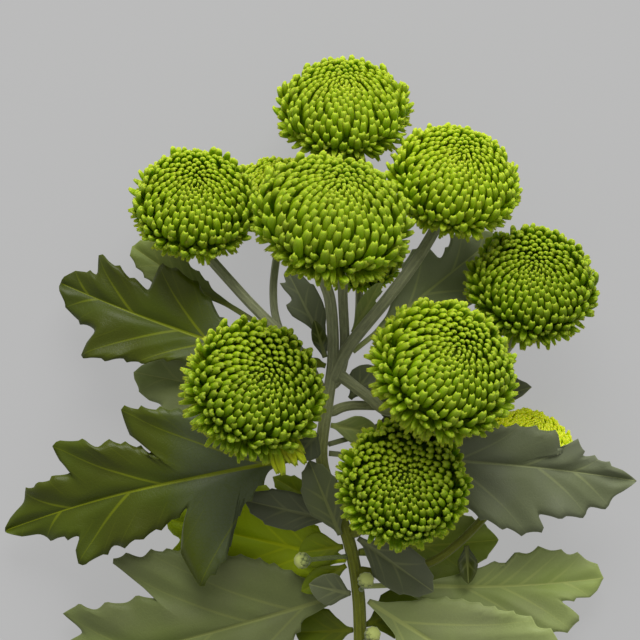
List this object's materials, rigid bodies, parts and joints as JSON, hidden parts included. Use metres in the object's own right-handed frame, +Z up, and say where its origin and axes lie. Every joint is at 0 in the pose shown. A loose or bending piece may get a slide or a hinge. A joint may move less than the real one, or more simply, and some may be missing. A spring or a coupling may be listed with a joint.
{
  "type": "chrysanthemum spray",
  "caption": "Cut spray of green pompon chrysanthemum lying on its back: round many-petalled heads on side stems, lobed leaves and small buds on one long stem",
  "frame": {"origin": "middle of the footprint of the lying spray, on the surface it lies on", "axes": "+Z up from the surface, +Y along the stem from the cut end towards the heads, +X to the right when looked down on with the heads at the top"},
  "size_m": [0.2023, 0.3622, 0.0806],
  "materials": {
    "head_green": "matte",
    "head_yellow": "matte",
    "calyx": "matte",
    "stem": "matte",
    "leaf_dark": "satin",
    "leaf_grey": "matte",
    "leaf_fresh": "matte",
    "bud": "matte"
  },
  "bodies": {
    "root": {"head_top": "head_green", "head_left": "head_green", "head_centre": "head_green", "head_upper_right": "head_green", "head_right": "head_green", "head_lower_left": "head_green", "head_lower_right": "head_green", "head_bottom": "head_green", "head_back_left": "head_green", "head_back_right": "head_yellow", "head_back_centre": "head_green", "calyx_top": "calyx", "calyx_left": "calyx", "calyx_centre": "calyx", "calyx_upper_right": "calyx", "calyx_right": "calyx", "calyx_lower_left": "calyx", "calyx_lower_right": "calyx", "calyx_bottom": "calyx", "calyx_back_left": "calyx", "calyx_back_right": "calyx", "calyx_back_centre": "calyx", "stem": "stem", "leaf_left_upper": "leaf_dark", "leaf_left_behind": "leaf_fresh", "leaf_left_mid": "leaf_fresh", "leaf_left_large": "leaf_dark", "leaf_left_lower": "leaf_fresh", "leaf_left_bright": "leaf_fresh", "leaf_left_inner": "leaf_grey", "leaf_left_slip": "leaf_fresh", "leaf_right_upper": "leaf_grey", "leaf_right_behind": "leaf_grey", "leaf_right_large": "leaf_grey", "leaf_right_lower": "leaf_fresh", "leaf_right_bottom": "leaf_fresh", "leaf_right_pale": "leaf_fresh", "leaf_under_bottom": "leaf_grey", "leaf_low_round": "leaf_grey", "leaf_right_bract": "leaf_dark", "leaf_left_bract": "leaf_grey", "leaf_inner_dark": "leaf_dark", "leaf_inner_pale": "leaf_fresh", "leaf_left_wing": "leaf_grey", "leaf_left_tuck": "leaf_fresh", "leaf_junction_left": "leaf_dark", "leaf_junction_base": "leaf_fresh", "leaf_junction_right": "leaf_grey", "leaf_base_left": "leaf_fresh", "leaf_base_right": "leaf_fresh", "leaf_low_tuck": "leaf_fresh", "leaf_right_wing": "leaf_grey", "leaf_back_upper_left": "leaf_grey", "leaf_back_upper": "leaf_fresh", "leaf_low_left": "leaf_fresh", "leaf_low_right": "leaf_fresh", "leaf_low_small": "leaf_fresh", "bud_left": "bud", "bud_middle": "bud", "bud_low": "bud"}
  },
  "joints": []
}
